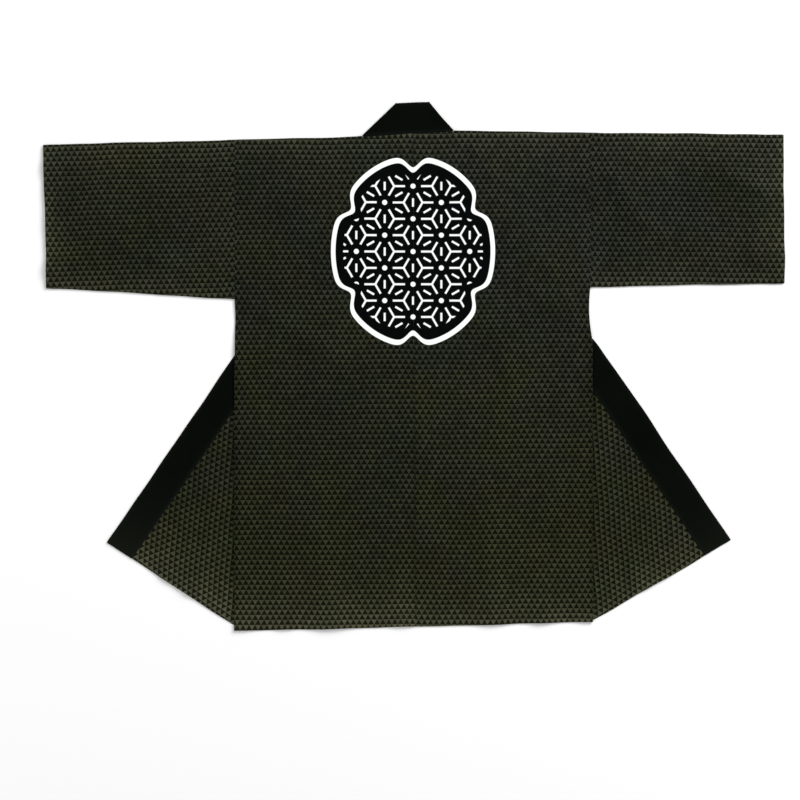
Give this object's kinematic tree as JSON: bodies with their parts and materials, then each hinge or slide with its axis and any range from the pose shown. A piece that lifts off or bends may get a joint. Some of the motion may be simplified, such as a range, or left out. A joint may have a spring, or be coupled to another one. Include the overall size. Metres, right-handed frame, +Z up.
{
  "type": "hanten laid flat",
  "caption": "Short open-fronted cotton work jacket with straight sleeves and a dark collar strip, laid flat back up with both fronts folded out.",
  "frame": {"origin": "middle of the laid garment's footprint, on the surface that it lies on", "axes": "+X to the viewer's right across both sleeves, +Y from the hem towards the neck, +Z up from the surface"},
  "size_m": [1.2686, 0.9056, 0.0068],
  "materials": {
    "print_cotton": "matt plain weave, small grey and black triangle print",
    "collar_cotton": "matt black plain weave, doubled"
  },
  "bodies": {
    "root": {"body_left": "print_cotton", "body_right": "print_cotton", "sleeve_left": "print_cotton", "sleeve_right": "print_cotton", "collar": "collar_cotton"}
  },
  "joints": []
}
